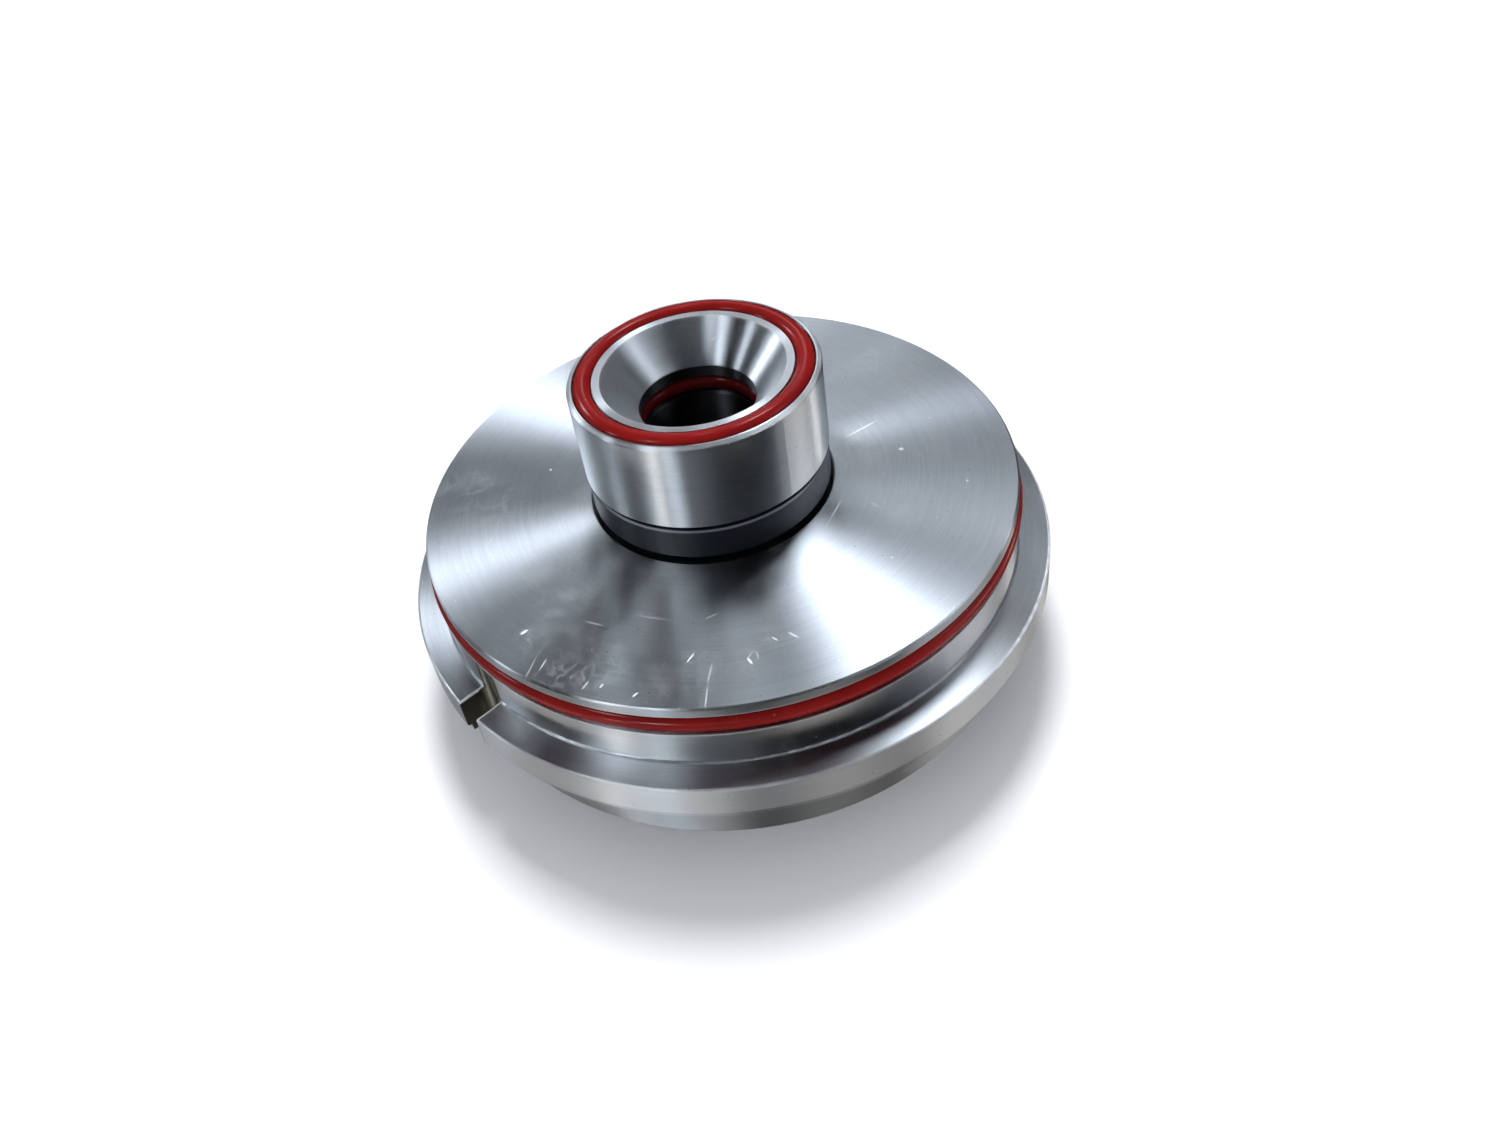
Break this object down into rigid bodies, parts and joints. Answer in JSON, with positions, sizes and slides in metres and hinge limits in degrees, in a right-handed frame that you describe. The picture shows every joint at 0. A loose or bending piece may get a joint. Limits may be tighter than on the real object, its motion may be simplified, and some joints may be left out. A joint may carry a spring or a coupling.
{
  "type": "cartridge mechanical seal",
  "caption": "Cartridge mechanical seal: turned steel gland plate with a slotted flange, flanged shaft sleeve, dark seal rings, red O-rings and a sprung pair of faces.",
  "frame": {"origin": "on the shaft axis, in the plane that the gland plate stands on", "axes": "+Z along the shaft axis, from the rear of the gland plate to the head of the sleeve; -Y through the slot in the flange; +X to the right of the slot, seen from it"},
  "size_m": [0.143, 0.1429, 0.0704],
  "materials": {
    "plate_steel": "turned satin stainless steel with fine scratches",
    "sleeve_steel": "turned satin stainless steel with small dings",
    "small_steel": "ground stainless steel",
    "spring_steel": "drawn stainless wire and stamped spring steel",
    "rubber": "glossy red moulded elastomer",
    "ring_carbide": "satin blue-black silicon carbide"
  },
  "bodies": {
    "housing": {"gland_plate": "plate_steel", "gland_o_ring": "rubber", "stationary_o_ring": "rubber", "anti_rotation_pin_1": "small_steel", "anti_rotation_pin_2": "small_steel", "spring_1": "spring_steel", "spring_2": "spring_steel", "spring_3": "spring_steel", "spring_4": "spring_steel", "spring_5": "spring_steel", "spring_6": "spring_steel"},
    "stationary_pack": {"stationary_ring": "ring_carbide", "thrust_ring": "small_steel"},
    "rotor": {"shaft_sleeve": "sleeve_steel", "sleeve_face_o_ring": "rubber", "sleeve_bore_o_ring": "rubber", "rotary_ring": "ring_carbide", "rotary_o_ring": "rubber", "drive_pin_1": "small_steel", "drive_pin_2": "small_steel", "stop_washer": "small_steel", "retaining_ring": "spring_steel"}
  },
  "joints": [
    {"name": "pack_slide", "type": "slide", "parent": "housing", "child": "stationary_pack", "axis": [0, 0, 1], "range_m": [-0.0025, 0], "stiffness_N_per_m": 20000, "springref_m": 0.0005, "deforming": ["spring_1", "spring_2", "spring_3", "spring_4", "spring_5", "spring_6"]},
    {"name": "rotor_turn", "type": "hinge", "parent": "stationary_pack", "child": "rotor", "pos_m": [0, 0, 0.0406], "axis": [0, 0, 1], "continuous": true}
  ]
}
